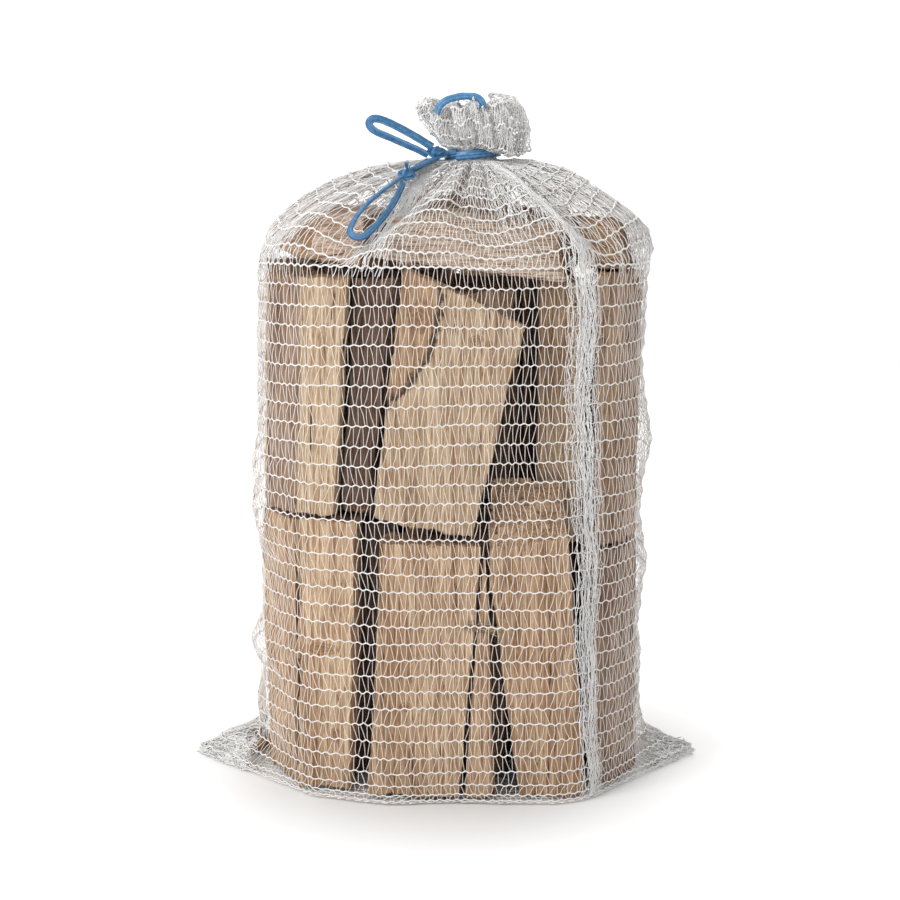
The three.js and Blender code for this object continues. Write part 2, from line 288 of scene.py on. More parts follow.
def bark_finish(name, grain):
    """Bark: dark brown ridges along the log with paler worn crests."""
    bark = Finish(name, 0.95)
    along = bark.stretched(along_grain(grain, 0.248))
    ridge = bark.noise(along, 70, detail=6, rough=0.65, distortion=0.4)
    fleck = bark.noise(bark.place, 520, detail=4)
    color = bark.ramp(ridge, [
        (0.32, (0.035, 0.024, 0.018)), (0.5, (0.14, 0.095, 0.068)), (0.68, (0.30, 0.225, 0.17))])
    color = bark.darken(color, 0.5, fleck, [(0.35, (0.5, 0.45, 0.4)), (0.6, WHITE)])
    normal = bark.bump(ridge, 0.8, 0.004)
    normal = bark.bump(fleck, 0.4, 0.001, normal)
    return bark.finish(color, normal)


def yarn_finish(name):
    """White plastic tape yarn with painted shade and rubbing: a little grey in random patches."""
    yarn = Finish(name, 0.42)
    shade_and_wear = yarn.noise(yarn.place, 60, detail=3)
    strand = yarn.noise(yarn.place, 1500, detail=2)
    # Painted shade and rubbing: random patches of the yarn made a little grey.
    color = yarn.ramp(shade_and_wear, [(0.35, (0.80, 0.785, 0.77)), (0.6, (0.90, 0.89, 0.875))])
    yarn.shader.inputs["Specular IOR Level"].default_value = 0.5
    normal = yarn.bump(strand, 0.3, 0.0004)
    return yarn.finish(color, normal)


TAPE_DARK = (0.022, 0.105, 0.25)
TAPE_BLUE = (0.05, 0.185, 0.38)
TAPE_PALE = (0.135, 0.35, 0.58)


def tape_finish(name):
    """Blue plastic tape with pale streaks along it; "lane" runs from 0 to 1 across the tape."""
    tape = Finish(name, 0.34)
    lane = tape.node("ShaderNodeAttribute", attribute_name="lane").outputs["Fac"]
    streaks = tape.ramp(lane, [
        (0.0, TAPE_BLUE), (0.12, TAPE_PALE), (0.2, TAPE_BLUE), (0.32, TAPE_PALE),
        (0.42, TAPE_DARK), (0.5, TAPE_BLUE), (0.62, TAPE_PALE), (0.7, TAPE_DARK),
        (0.85, TAPE_BLUE), (1.0, TAPE_DARK)])
    crease = tape.noise(tape.place, 240, detail=3, distortion=0.5)
    cloud = tape.noise(tape.place, 45, detail=2)
    patches = tape.ramp(crease, [(0.38, TAPE_DARK), (0.5, TAPE_BLUE), (0.62, TAPE_PALE)])
    color = tape.mix("MIX", 0.35, streaks, patches)
    color = tape.darken(color, 0.6, cloud, [(0.35, (0.7, 0.75, 0.8)), (0.6, WHITE)])
    normal = tape.bump(crease, 0.4, 0.0008)
    return tape.finish(color, normal)


# Split faces: the pale wood, the bands in it and its dark fibres.
TONES = {
    "pale": ((0.82, 0.65, 0.46), (0.68, 0.49, 0.32), (0.48, 0.33, 0.22)),
    "tan": ((0.76, 0.54, 0.35), (0.60, 0.40, 0.24), (0.42, 0.27, 0.17)),
    "warm": ((0.86, 0.65, 0.44), (0.72, 0.49, 0.31), (0.48, 0.31, 0.20)),
    # Painted shade: a darker tone for the log on the shaded right side.
    "deep": ((0.62, 0.45, 0.31), (0.42, 0.29, 0.20), (0.34, 0.23, 0.17)),
    "pink": ((0.92, 0.74, 0.61), (0.74, 0.55, 0.43), (0.52, 0.38, 0.29)),
    # Painted light: the top logs' own pale wood, made paler still where the net and the stack shade
    # them.
    "pale_lit_crown": ((1.0, 0.86, 0.74), (0.88, 0.69, 0.56), (0.44, 0.29, 0.20)),
    # Partly the dark bark-brown of logs deep in the gaps, partly painted shade in those gaps.
    "brown": ((0.40, 0.285, 0.225), (0.31, 0.21, 0.165), (0.36, 0.26, 0.20)),
    # Painted shade: a dark tone for faces, ends and logs that the key light turns away from.
    "shade": ((0.52, 0.37, 0.275), (0.35, 0.24, 0.175), (0.30, 0.20, 0.15)),
}
END_PALE = (0.56, 0.34, 0.185)
END_DARK = (0.30, 0.17, 0.09)
# Knots and a split: the centre of each and its half width, depth and half height.
UPPER_KNOTS = [((-0.024, -0.160, 0.490), (0.024, 0.05, 0.034)),
               ((0.030, -0.158, 0.466), (0.013, 0.03, 0.010)),
               ((0.043, -0.158, 0.461), (0.010, 0.03, 0.009))]
UPPER_SPLIT = ((-0.098, -0.150, 0.521), (0.109, 10, 0.150))
LEFT_KNOTS = [((-0.125, -0.130, 0.150), (0.034, 0.06, 0.013)),
              ((-0.112, -0.134, 0.060), (0.012, 0.05, 0.016))]
MIDDLE_KNOTS = [((-0.040, -0.157, 0.098), (0.012, 0.03, 0.010)),
                ((-0.068, -0.157, 0.255), (0.014, 0.03, 0.018))]


def wood_finishes():
    made = {}
    for tone, (pale, mid, dark) in TONES.items():
        for grain in "XYZ":
            made[tone, grain] = split_face_finish(
                f"split_{tone}_{grain.lower()}", grain, pale, mid, dark)
    made["knotty", "Z"] = split_face_finish(
        "split_knotty_z", "Z", *TONES["pale"], knots=UPPER_KNOTS, split=UPPER_SPLIT)
    made["left", "Z"] = split_face_finish("split_left_z", "Z", *TONES["warm"], knots=LEFT_KNOTS)
    made["middle", "Z"] = split_face_finish("split_middle_z", "Z", *TONES["warm"], knots=MIDDLE_KNOTS)
    for grain in "XYZ":
        made["end", grain] = sawn_end_finish(
            f"sawn_end_{grain.lower()}", grain, END_PALE, END_DARK)
        made["bark", grain] = bark_finish(f"bark_{grain.lower()}", grain)
    return made


WOOD = wood_finishes()
NET_YARN = yarn_finish("white_net_yarn")
BLUE_TAPE = tape_finish("blue_tape")

# ---- Working in edit mode ----


def only(piece):
    """Makes one piece the only selected and active one."""
    if bpy.context.mode != "OBJECT":
        bpy.ops.object.mode_set(mode="OBJECT")
    bpy.ops.object.select_all(action="DESELECT")
    piece.select_set(True)
    bpy.context.view_layer.objects.active = piece


def apply_modifiers(piece):
    only(piece)
    for modifier in list(piece.modifiers):
        bpy.ops.object.modifier_apply(modifier=modifier.name)


def copy_of_node(node, name):
    """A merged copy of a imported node, ready to be worked on."""
    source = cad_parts[node]
    piece = bpy.data.objects.new(name, source.data.copy())
    bpy.context.scene.collection.objects.link(piece)
    piece.data.materials.clear()
    only(piece)
    bpy.ops.object.mode_set(mode="EDIT")
    bpy.ops.mesh.select_all(action="SELECT")
    bpy.ops.mesh.remove_doubles(threshold=0.00002)
    bpy.ops.mesh.customdata_custom_splitnormals_clear()
    bpy.ops.object.mode_set(mode="OBJECT")
    return piece


def thread_piece(name, routes, radius, closed=False):
    """Threads, each a line of points, as one curve with a four-sided section, made a mesh."""
    curve = bpy.data.curves.new(name, "CURVE")
    curve.dimensions = "3D"
    curve.bevel_depth = radius
    curve.bevel_resolution = 0
    for route in routes:
        spline = curve.splines.new("POLY")
        spline.points.add(len(route) - 1)
        spline.points.foreach_set("co", np.column_stack([route, np.ones(len(route))]).ravel())
        spline.use_cyclic_u = closed
        spline.use_smooth = True
    piece = bpy.data.objects.new(name, curve)
    bpy.context.scene.collection.objects.link(piece)
    only(piece)
    bpy.ops.object.convert(target="MESH")
    return bpy.context.object


def join(pieces, name):
    only(pieces[0])
    for piece in pieces:
        piece.select_set(True)
    bpy.ops.object.join()
    piece = bpy.context.object
    piece.name = name
    return piece


def finish_piece(piece, material, node):
    piece.data.materials.clear()
    piece.data.materials.append(material)
    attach(piece, "root")
    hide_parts(node)
    return piece


# ---- Logs ----
# Each log starts as its packed prism, is remeshed fine enough to carry its surface, and is then
# pushed in and out by cloud textures stretched along its grain.
STRETCH = 9
# How squarely a face looks along the grain, or to a side, to be a sawn end, bark or painted shade.
END_REACH = 0.72
BARK_REACH = 0.72
SHADE_REACH = 0.93
FIBRE_RADIUS = 0.0006


def grain_guide(grain, size, number):
    """An empty whose stretched axes make a texture run along the grain."""
    bpy.ops.object.empty_add(location=(0.37 * number, 0.19 * number, 0.11 * number))
    guide = bpy.context.object
    guide.scale = tuple(size * share for share in along_grain(grain, STRETCH))
    return guide


def push_surface(piece, guide, texture, strength):
    push = piece.modifiers.new("push", "DISPLACE")
    push.texture = texture
    push.texture_coords = "OBJECT"
    push.texture_coords_object = guide
    push.strength = strength
    push.mid_level = 0.5


def cloud_texture(name, depth):
    texture = bpy.data.textures.new(name, "CLOUDS")
    texture.noise_scale = 1.0
    texture.noise_depth = depth
    texture.contrast = 1.6
    return texture


BROAD_CLOUD = cloud_texture("broad_waves", 1)
RIDGE_CLOUD = cloud_texture("torn_ridges", 2)
RIDGE_CLOUD.noise_type = "HARD_NOISE"
FIBRE_CLOUD = cloud_texture("torn_fibres", 3)
# Each layer of the torn surface: the size of its pattern, its texture and its strength.
SURFACE_LAYERS = [
    (0.026, BROAD_CLOUD, 0.005), (0.010, RIDGE_CLOUD, 0.003), (0.0042, FIBRE_CLOUD, 0.0018)]


def paint_log(piece, grain, tone, end, bark_side, shade_side):
    """Sawn ends, split faces and, where the log has any, a side of bark or a face with painted shade."""
    for kind in (tone, end, "bark", "shade"):
        piece.data.materials.append(WOOD[kind, grain])
    wanted = [(bark_side, 2, BARK_REACH), (shade_side, 3, SHADE_REACH)]
    sides = [(Vector(side).normalized(), slot, reach) for side, slot, reach in wanted if side]
    axis = "XYZ".index(grain)
    for face in piece.data.polygons:
        if abs(face.normal[axis]) > END_REACH:
            face.material_index = 1
        for side, slot, reach in sides:
            if face.normal.dot(side) > reach:
                face.material_index = slot


def torn_fibres(node):
    """Torn fibres that hang across the gap between two lower logs."""
    rng = np.random.default_rng(11)
    routes = []
    for _ in range(26):
        start = np.array([
            rng.uniform(0.016, 0.042), rng.uniform(-0.1635, -0.161), rng.normal(0.1795, 0.002)])
        reach = rng.uniform(0.008, 0.024)
        share = np.linspace(0, 1, 6)
        line = start + np.outer(share, (reach, 0, rng.normal(0, 0.0018)))
        line[:, 2] += rng.normal(0, 0.0009, 6) - 0.003 * share ** 2 * rng.random()
        routes.append(line)
    fibres = thread_piece("torn_fibres", routes, FIBRE_RADIUS)
    return finish_piece(fibres, WOOD["pale", "X"], node)


def split_log(node, number, tone="pale", grain="Z", end="end", bark_side=None,
              shade_side=None, fine=0.003, rough=1.0):
    """One log: fine is the size of its mesh, rough scales how deep its surface is torn."""
    piece = copy_of_node(node, node + "_wood")
    remesh = piece.modifiers.new("remesh", "REMESH")
    remesh.mode = "VOXEL"
    remesh.voxel_size = fine
    apply_modifiers(piece)
    paint_log(piece, grain, tone, end, bark_side, shade_side)
    guides = [grain_guide(grain, size, number) for size, _, _ in SURFACE_LAYERS]
    for guide, (_, texture, strength) in zip(guides, SURFACE_LAYERS):
        push_surface(piece, guide, texture, strength * rough)
    apply_modifiers(piece)
    for guide in guides:
        bpy.data.objects.remove(guide)
    for face in piece.data.polygons:
        face.use_smooth = True
    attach(piece, "root")
    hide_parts(node)
    return piece


# Each log's wood, the way its grain runs where that isn't up, its bark or its side with painted
# shade, and how fine its mesh is.
LOGS = {
    "lower_log_left_side": dict(tone="tan"),
    "lower_log_front_left": dict(tone="left", fine=0.0022),
    "lower_log_front_middle": dict(tone="middle", fine=0.0022),
    "lower_log_front_right": dict(tone="tan", fine=0.0022),
    # Painted shade: this whole log on the shaded right gets the shade tone.
    "lower_log_right_side": dict(tone="shade"),
    "lower_log_middle_left": dict(tone="brown", fine=0.004),
    "lower_log_middle": dict(tone="tan", fine=0.005),
    "lower_log_middle_right": dict(tone="brown", fine=0.004),
    "lower_log_back_1": dict(tone="pale", bark_side=(-1, 0.3, 0)),
    "lower_log_back_2": dict(tone="tan", bark_side=(0, 1, 0)),
    "lower_log_back_3": dict(tone="pale"),
    "lower_log_back_4": dict(tone="tan", bark_side=(0.5, 1, 0)),
    "lower_log_back_5": dict(tone="pale"),
    "upper_log_front_left": dict(tone="pale", shade_side=(-0.8, -0.6, 0), fine=0.0022),
    "upper_bark_strip": dict(tone="brown"),
    "upper_log_front_middle": dict(tone="knotty", fine=0.0022),
    "upper_log_front_right": dict(tone="pale"),
    # Painted shade: this right side log gets the darker deep tone.
    "upper_log_right_side": dict(tone="deep"),
    # Painted shade: a brown end darkens this log's head in the wedge gap.
    "upper_log_middle_left": dict(tone="brown", end="brown", fine=0.005),
    "upper_log_middle": dict(tone="tan"),
    "upper_log_middle_right": dict(tone="brown", fine=0.005),
    # Painted shade: a brown end darkens this log's head in the wedge gap.
    "upper_log_back_1": dict(tone="pale", end="brown"),
    "upper_log_back_2": dict(tone="pale", bark_side=(0, 1, 0)),
    "upper_log_back_3": dict(tone="tan"),
    "upper_log_back_4": dict(tone="pale", bark_side=(0.3, 1, 0)),
    "upper_log_back_5": dict(tone="tan"),
    "top_log_left": dict(tone="pink", grain="X"),
    "top_log_middle": dict(tone="pale_lit_crown", grain="X", shade_side=(-0.9, -0.4, 0), fine=0.0025, rough=1.5),
    "top_log_right": dict(tone="pale_lit_crown", grain="Y", end="pale_lit_crown", fine=0.0025, rough=1.5),
    # Painted shade on this log's ends.
    "top_log_right_side": dict(tone="tan", grain="X", end="shade", rough=1.5),
    "top_log_back": dict(tone="pale_lit_crown", grain="X"),
    "splinter": dict(tone="tan", fine=0.002, rough=0.4),
    "ear_chip": dict(tone="tan", grain="Y", fine=0.0015, rough=0.3),
}

for number, (node, settings) in enumerate(LOGS.items()):
    split_log(node, number, **settings)
torn_fibres("splinter")

# ---- Net sack ----
# The knit is 124 waves round. Its surface is worked out ring by ring: under the base from the
# bottom seam out, up the wall, over the shoulder, through the tie and up the ruffle. Rows of
# wavy chain lie on whole rings, and each gap between two rows has a zigzag thread.
WAVES = 124
CORNERS_PER_WAVE = 4
CORNERS = WAVES * CORNERS_PER_WAVE
STACK_X = 0.011
NECK_X = 0.028
NECK_RADIUS = 0.0255
SHOULDER_Z = 0.535
SHOULDER_TOP_Z = 0.640
SIDE_FULLNESS = 0.48
NET_FLOOR = 0.0021
LOWEST_THREAD = 0.0012
LEFT_EAR = -0.199
RIGHT_EAR = 0.213
BASE_ROWS = 9
SHOULDER_ROWS = 11
EAR_ROWS = 8             # rows of the wall that the ears reach up
TIGHT_RINGS = 6          # rings below the neck that hold no slack
WALL_PITCHES = [0.002, 0.006, 0.010, 0.013, 0.0155] + [0.0165] * 7 + [0.0178] * 9 + [0.0193] * 11
# Each ring of the ruffle: its radius and its height.
RUFFLE = [(0.0252, 0.6435), (0.0250, 0.648), (0.0255, 0.652), (0.0330, 0.6555), (0.0395, 0.660),
          (0.0440, 0.6665), (0.0465, 0.674), (0.0480, 0.682), (0.0480, 0.690), (0.0440, 0.6965),
          (0.0380, 0.699), (0.0310, 0.696)]
WALL_TOP_ROW = BASE_ROWS + len(WALL_PITCHES)
NECK_ROW = WALL_TOP_ROW + SHOULDER_ROWS
CHAIN_RADIUS = 0.00070
THREAD_RADIUS = 0.00034
SEAM_RADIUS = 0.00036
CREASE_RADIUS = 0.0004
FOLD_RADIUS = 0.00042
TANGLE_RADIUS = 0.00055
GATHERED_STOUT = 1.35    # the shoulder's and ruffle's yarn is bunched, so it looks stouter
# Slack and tight places: angle in degrees, height, push outwards, width in degrees, rise.
WALL_SLACK = [
    (184, 0.328, 0.006, 22, 0.014), (183, 0.282, 0.006, 22, 0.013), (186, 0.136, 0.013, 20, 0.013),
    (184, 0.074, 0.012, 20, 0.014), (0, 0.355, 0.010, 20, 0.022), (0, 0.277, -0.003, 18, 0.010),
    (2, 0.220, 0.006, 20, 0.018), (0, 0.155, -0.003, 18, 0.010), (0, 0.564, 0.008, 26, 0.020),
    (0, 0.608, -0.013, 26, 0.013), (184, 0.606, -0.007, 26, 0.016), (0, 0.440, -0.003, 18, 0.016)]
# Folds over the shoulder: angle at the wall and at the neck, width in degrees, push outwards.
SHOULDER_FOLDS = [
    (-131, -112, 5.0, -0.024), (-142, -126, 7.0, 0.008), (-119, -98, 6.0, 0.012),
    (-47, -62, 4.0, 0.016), (-38, -48, 5.0, -0.018), (-78, -84, 5.0, -0.010),
    (-92, -92, 4.0, 0.006), (-12, -24, 6.0, 0.008), (4, -6, 5.0, -0.006), (146, 150, 7.0, -0.012),
    (128, 130, 5.0, 0.008), (104, 108, 5.0, -0.008), (58, 62, 7.0, -0.012), (36, 40, 5.0, 0.007),
    (-160, -168, 6.0, -0.008), (174, 172, 6.0, 0.006)]

ANGLES = np.arange(CORNERS) / CORNERS * 2 * math.pi
skin = BVHTree.FromObject(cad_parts["net_bag"], bpy.context.evaluated_depsgraph_get())


def wall_ring(height):
    """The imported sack's outside at one height, seen from all round."""
    ring = np.zeros((CORNERS, 3))
    for i, angle in enumerate(ANGLES):
        away = Vector((math.cos(angle), math.sin(angle), 0))
        start = Vector((STACK_X, 0, height)) + away * 0.5
        ring[i] = skin.ray_cast(start, -away)[0]
    return ring


def near_angle(degrees, width):
    """A soft bump round the sack, 1 at the angle and falling off over the width."""
    gap = (np.degrees(ANGLES) - degrees + 180) % 360 - 180
    return np.exp(-0.5 * (gap / width) ** 2)


def near_height(height, middle, rise):
    return np.exp(-0.5 * ((height - middle) / rise) ** 2)


def waves_round(parts, turn=0.0):
    """Uneven waves round the sack: each part is its count, size and phase."""
    return sum(size * np.sin(count * ANGLES + phase + turn * count) for count, size, phase in parts)


def push_out(ring, centre_x, amount):
    flat = ring[:, :2] - np.array([centre_x, 0])
    ring[:, :2] += flat / np.linalg.norm(flat, axis=1)[:, None] * amount[:, None]


def round_ring(radius, height):
    ring = np.zeros((CORNERS, 3))
    ring[:, 0] = NECK_X + radius * np.cos(ANGLES)
    ring[:, 1] = radius * np.sin(ANGLES)
    ring[:, 2] = height
    return ring


def plain_shoulder_ring(wall, turn):
    neck = round_ring(NECK_RADIUS, SHOULDER_TOP_Z)
    inwards = 1 - math.cos(turn)
    ring = wall + (neck - wall) * inwards
    fullness = 1 - SIDE_FULLNESS + SIDE_FULLNESS * np.cos(ANGLES) ** 4
    rise = inwards + (math.sin(turn) - inwards) * fullness
    ring[:, 2] = SHOULDER_Z + (SHOULDER_TOP_Z - SHOULDER_Z) * rise
    return ring


# Pleats at the tie: how many go round, their share of the depth and where they start.
PLEATS = [(17, 0.45, 0.4), (26, 0.35, 1.9), (41, 0.3, 0.7)]
PLEAT_DEPTH = 0.009
FOLD_OUT = 0.55          # shares of a fold's push that go outwards and upwards
FOLD_UP = 0.85


def shoulder_ring(wall, turn):
    """The shoulder with its creases, ridges and the pleats that run into the tie."""
    ring = plain_shoulder_ring(wall, turn)
    share = turn / (math.pi / 2)
    middle = math.sin(math.pi * min(share * 1.06, 1)) ** 0.7 * (1 - 0.35 * share)
    push = np.zeros(CORNERS)
    for at_wall, at_neck, width, amount in SHOULDER_FOLDS:
        push += near_angle(at_wall + (at_neck - at_wall) * share, width * (1 + 1.6 * share)) * amount
    push *= middle
    push += waves_round(PLEATS) * PLEAT_DEPTH * share ** 1.7 * (1 - share ** 8)
    push_out(ring, NECK_X, push * FOLD_OUT)
    ring[:, 2] += push * FOLD_UP
    return ring


# Where the ruffle flops: angle, width, and for each step from the tie how far it drops and
# how far it swings out.
FLOPS = [
    (-42, 27, [0, 0, 0, 4, 15, 18, 15, 10, 5, 1, 0, 0], [0, 0, 0, 3, 7, 7, 6, 4, 1, 0, 2, 4]),
    (6, 24, [0, 0, 0, 3, 8, 8, 6, 4, 2, 0, 0, 0], [0, 0, 0, 3, 6, 5, 3, 2, 2, 1, 3, 5]),
    (178, 34, [0, 0, 0, -1, -2, -3, -3, -2, 0, 1, 3, 6], [0, 0, 0, -2, -3, -3, -1, 2, 6, 9, 11, 13]),
    (-88, 17, [0, 0, 0, 0, 1, 3, 4, 4, 4, 3, 4, 6], [0, 0, 0, -3, -4, -2, 1, 4, 3, 0, -2, 0]),
    (-122, 12, [0, 0, 0, 0, 0, 0, -1, -2, -3, -4, -5, -4], [0, 0, 0, 0, 1, 2, 3, 4, 5, 6, 6, 6])]
# The ruffle's folds and the leaning of its rim: count, share and phase of each wave.
RUFFLE_FOLDS = [(3, 0.3, 2.2), (5, 0.35, 1.1), (8, 0.45, 0.2), (13, 0.45, 2.0), (27, 0.25, 0.5)]
RUFFLE_LEAN = [(2, 0.4, 2.6), (4, 0.5, 0.8), (7, 0.5, 0.3), (12, 0.5, 1.7), (19, 0.35, 0.4)]
RUFFLE_DEPTH = 0.0125
RUFFLE_RISE = 0.0075
TIED_DEPTH = 0.0012


def ruffle_ring(step, radius, height):
    """The gathered mouth: tight pleats in the tie that open into deep uneven folds."""
    open_share = max(step - 2, 0) / (len(RUFFLE) - 3)
    loose = min(open_share * 4, 1)
    fold = waves_round(RUFFLE_FOLDS, 0.05 * step)
    ring = round_ring(radius, height)
    crumple = waves_round([(31, 0.0011, 1.3 * step), (47, 0.0009, 2.1 * step)]) * loose
    tied = TIED_DEPTH * (1 + waves_round(PLEATS))
    swing = fold * RUFFLE_DEPTH * open_share ** 0.45 - tied + crumple
    ring[:, 2] += waves_round(RUFFLE_LEAN) * RUFFLE_RISE * open_share
    ring[:, 2] += waves_round([(29, 0.0010, 1.7 * step), (43, 0.0008, 0.9 * step)]) * loose
    for angle, width, drops, swings in FLOPS:
        ring[:, 2] -= near_angle(angle, width) * drops[step] * MM
        swing = swing + near_angle(angle, width) * swings[step] * MM
    push_out(ring, NECK_X, swing)
    return ring


def slack(ring, level):
    """Loose bulges, legs bellying out between rows at the sides, and rows that are not level."""
    heights = ring[:, 2]
    push = np.zeros(CORNERS)
    for angle, middle, amount, width, rise in WALL_SLACK:
        push += near_angle(angle, width) * near_height(heights, middle, rise) * amount
    loose = near_angle(0, 30) + near_angle(180, 30)
    push += loose * (0.0016 if level % 2 else -0.0014) * (heights > 0.03)
    push += waves_round([(23, 0.0005, level), (37, 0.0004, 1.7 * level)])
    push_out(ring, STACK_X, push)
    sway = waves_round([(3, 0.0011, 0.18 * level), (7, 0.0007, -0.3 * level), (13, 0.0003, 0.9 * level)])
    ring[:, 2] += sway * np.clip(heights / 0.05, 0, 1)
    return ring


# Heights on an ear, and the share of its packed reach that it has there.
EAR_HEIGHTS = [0.011, 0.020, 0.028, 0.034, 0.042]
EAR_REACH = [1, 1.14, 1.18, 0.25, 0.05]
EAR_FOLD = 0.0022


def crumple_ears(ring, level):
    """The two bottom corners are sewn tight, so each is a low crumpled lump beside the wall."""
    lump = np.interp(ring[:, 2], EAR_HEIGHTS, EAR_REACH)
    ring[:, 0] += np.maximum(ring[:, 0] - RIGHT_EAR, 0) * (lump - 1)
    ring[:, 0] += np.minimum(ring[:, 0] - LEFT_EAR, 0) * (lump - 1)
    out = np.clip((np.abs(ring[:, 0] - STACK_X) - 0.205) / 0.05, 0, 1)
    folds = np.sin(ANGLES * 61 + level * 1.9) + np.sin(ANGLES * 97 - level * 2.7)
    ring[:, 1] += out * EAR_FOLD * folds
    lift = out * EAR_FOLD * np.sin(ANGLES * 79 + level * 2.3)
    ring[:, 2] = np.maximum(ring[:, 2] + lift, NET_FLOOR)
    return ring


def base_ring(edge, inwards):
    ring = edge.copy()
    ring[:, 1] *= 1 - inwards
    ring[:, 2] = NET_FLOOR
    return ring


def shoulder_turns(wall):
    """Turns from the wall to the neck that leave even row gaps along the front."""
    fine = np.linspace(0, math.pi / 2, 120)
    rings = np.array([plain_shoulder_ring(wall, t) for t in fine])
    steps = np.linalg.norm(np.diff(rings, axis=0), axis=2).mean(axis=1)
    length = np.concatenate([[0], np.cumsum(steps)])
    wanted = np.linspace(0, length[-1], 2 * SHOULDER_ROWS + 1)[1:]
    return np.interp(wanted, length, fine)


def net_rings():
    """One ring for each row and half row, from the bottom seam to the ruffle's rim."""
    floor_edge = wall_ring(0.001)
    floor_edge[:, 2] = NET_FLOOR
    rings = [base_ring(floor_edge, 1 - i / (2 * BASE_ROWS)) for i in range(2 * BASE_ROWS)]
    heights = [NET_FLOOR]
    for pitch in WALL_PITCHES:
        heights += [heights[-1] + pitch / 2, heights[-1] + pitch]
    rings += [wall_ring(height) for height in heights]
    last = wall_ring(SHOULDER_Z - 0.001)
    rings += [shoulder_ring(last, turn) for turn in shoulder_turns(last)]
    for level in range(2 * BASE_ROWS, len(rings)):
        if len(rings) - level > TIGHT_RINGS:
            rings[level] = slack(rings[level], level)
    for level in range(2 * (BASE_ROWS + EAR_ROWS)):
        rings[level] = crumple_ears(rings[level], level)
    rings += [ruffle_ring(step, *shape) for step, shape in enumerate(RUFFLE)]
    return np.array(rings)


RINGS = net_rings()
ROWS = (len(RINGS) + 1) // 2


def on_net(u, v, lift):
    """Points at column u (in waves) and row v, raised off the surface by lift."""
    column = np.mod(u, WAVES) * CORNERS_PER_WAVE
    level = np.clip(v * 2, 0, len(RINGS) - 1.0001)
    c0 = np.floor(column).astype(int)
    l0 = np.floor(level).astype(int)
    cf = (column - c0)[..., None]
    lf = (level - l0)[..., None]
    c1 = (c0 + 1) % CORNERS
    c0 = c0 % CORNERS
    low = RINGS[l0, c0] * (1 - cf) + RINGS[l0, c1] * cf
    high = RINGS[l0 + 1, c0] * (1 - cf) + RINGS[l0 + 1, c1] * cf
    across = RINGS[l0, (c0 + 2) % CORNERS] - RINGS[l0, (c0 - 2) % CORNERS]
    outwards = np.cross(across, high - low)
    outwards /= np.linalg.norm(outwards, axis=-1)[..., None] + 1e-12
    return low * (1 - lf) + high * lf + outwards * lift[..., None]


def drift(u, row):
    """How far a row's stitches have slipped sideways, in waves."""
    around = u / WAVES * 2 * math.pi
    return (0.16 * np.sin(5 * around + 2.1 * row) + 0.05 * np.sin(17 * around + 1.3 * row)
            + 0.04 * np.sin(41 * around - 0.7 * row))


def chain_route(row, pitch, steps, rng):
    """One wavy row of chain right round the sack."""
    u = np.arange(WAVES * steps) / steps
    depth = np.repeat(rng.normal(0.00095, 0.00022, WAVES), steps)
    v = row + depth / pitch * np.cos(2 * math.pi * u)
    return on_net(u + drift(u, row), v, np.full(len(u), 0.0006))


def zigzag_route(row, pitch, rng):
    """The thread between one row and the next: up to a trough, down to a peak, all round."""
    hold = 0.12
    wave_number = np.arange(WAVES)
    lean = rng.normal(0, 0.028, (2, WAVES))
    sag = rng.normal(0.5, 0.07, (2, WAVES))
    dip = 0.0009 / pitch
    foot = wave_number + drift(wave_number, row)
    head = wave_number + 0.5 + drift(wave_number + 0.5, row + 1)
    foot_after = np.roll(foot, -1)
    foot_after[-1] += WAVES
    u = np.stack([
        foot - hold, foot + hold, (foot + head) / 2 + lean[0],
        head - hold, head + hold, (head + foot_after) / 2 + lean[1]], axis=1)
    low = np.full(WAVES, row + dip)
    high = np.full(WAVES, row + 1 - dip)
    v = np.stack([low, low, row + sag[0], high, high, row + sag[1]], axis=1)
    lift = np.tile([0.0002, 0.0002, -0.0003, 0.0002, 0.0002, -0.0003], (WAVES, 1))
    return on_net(u.ravel(), v.ravel(), lift.ravel())


def net_piece(name, first, last, rng, stout=1.0):
    """The rows from first up to last, and the zigzags above them."""
    chains = []
    zigzags = []
    steps = 4 if last <= BASE_ROWS else 6
    for row in range(first, last):
        top = min(2 * row + 2, len(RINGS) - 1)
        pitch = max(float(np.linalg.norm(RINGS[top] - RINGS[2 * row], axis=1).mean()), 0.004)
        chains.append(chain_route(row, pitch, steps, rng))
        if row < ROWS - 1:
            zigzags.append(zigzag_route(row, pitch, rng))
    piece = join([
        thread_piece(name + "_chains", chains, CHAIN_RADIUS * stout, closed=True),
        thread_piece(name + "_zigzags", zigzags, THREAD_RADIUS * stout, closed=True)], name)
    return finish_piece(piece, NET_YARN, "net_bag")


def yarn_piece(name, routes, radius):
    """Loose threads of the net as one piece."""
    return finish_piece(thread_piece(name, routes, radius), NET_YARN, "net_bag")


def running_mean(columns, reach):
    """Each column's mean over reach rings either way."""
    width = 2 * reach + 1
    return np.convolve(np.pad(columns, reach, mode="edge"), np.ones(width) / width, mode="valid")


def closed_walk(size, count, rng):
    """A random walk that ends where it starts."""
    walk = np.cumsum(rng.normal(0, size, count))
    return walk - np.linspace(walk[0], walk[-1], count)


# The side seam leans towards the middle as it rises, then sweeps round over the shoulder.
SEAM_X = 0.147
SEAM_LEAN = 0.024
SEAM_SWEEP = 0.042       # share of the way round
# The left crease runs down and out from the tie.
CREASE_X = -0.010
CREASE_SPREAD = 0.65


def seam_column(level):
    """The column where the sack's side seam crosses this ring, on the front right."""
    wall_end = 2 * WALL_TOP_ROW
    ring = RINGS[min(level, wall_end)]
    wanted = SEAM_X - SEAM_LEAN * ring[:, 2].mean()
    front = np.where(ring[:, 1] < 0)[0]
    column = float(front[np.argmin(np.abs(ring[front, 0] - wanted))]) / CORNERS_PER_WAVE
    return column - max(level - wall_end, 0) / (2 * SHOULDER_ROWS) * SEAM_SWEEP * WAVES


